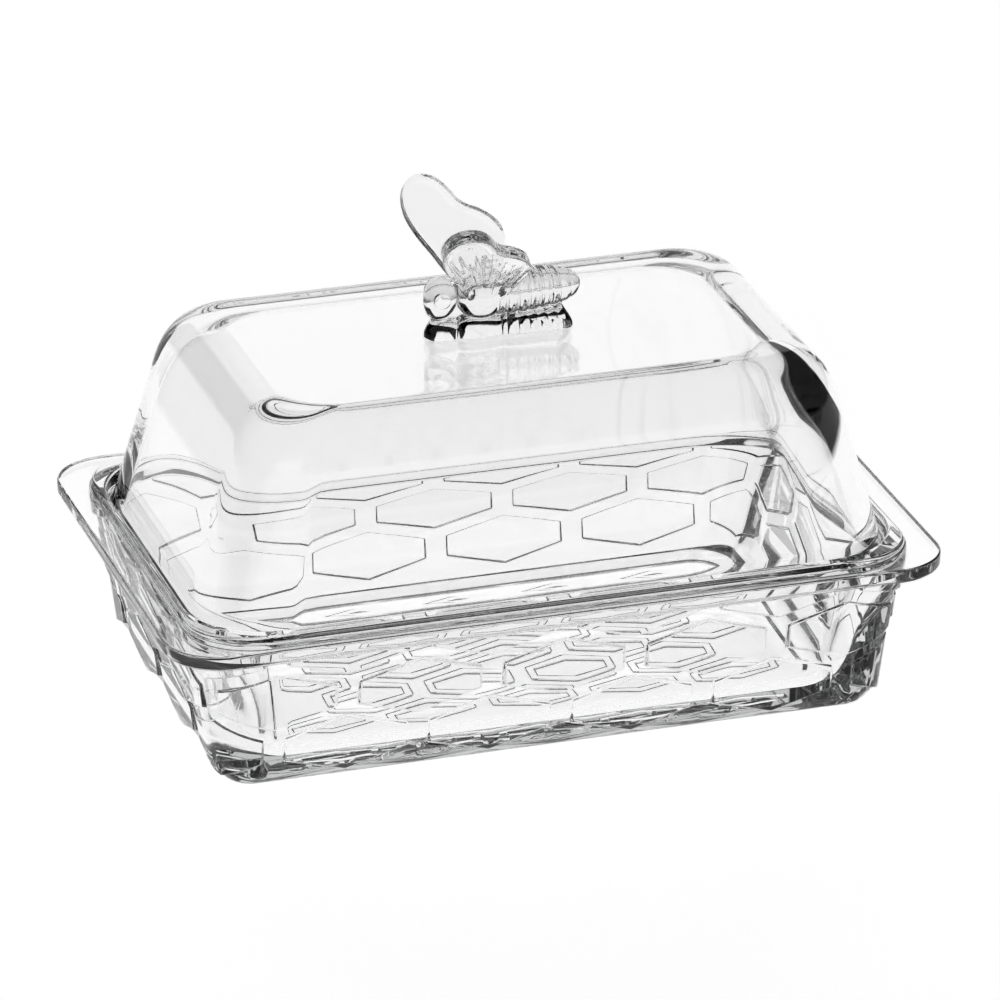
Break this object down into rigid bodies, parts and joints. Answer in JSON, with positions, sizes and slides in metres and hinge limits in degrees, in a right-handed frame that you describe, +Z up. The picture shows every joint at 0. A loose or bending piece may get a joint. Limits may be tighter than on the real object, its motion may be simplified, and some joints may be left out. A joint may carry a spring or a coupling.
{
  "type": "butter dish",
  "caption": "Rectangular pressed-glass butter dish: a deep base with honeycomb walls and end handles, and a lift-off lid with a bee-shaped knob.",
  "frame": {"origin": "on the table, under the middle of the base", "axes": "+X along the length, from handle to handle, with the bee's tail towards +X; +Y across the width; +Z up"},
  "size_m": [0.19, 0.124, 0.1207],
  "materials": {
    "base_glass": "clear pressed glass, fire polished, with raised hexagons",
    "lid_glass": "clear pressed glass, smooth and polished",
    "knob_glass": "clear pressed glass with fine veins on the wings"
  },
  "bodies": {
    "dish": {"dish_base": "base_glass"},
    "lid": {"lid_cover": "lid_glass", "bee_knob": "knob_glass"}
  },
  "joints": [
    {"name": "lid_lift", "type": "slide", "parent": "dish", "child": "lid", "axis": [0, 0, 1], "range_m": [0, 0.1]}
  ]
}
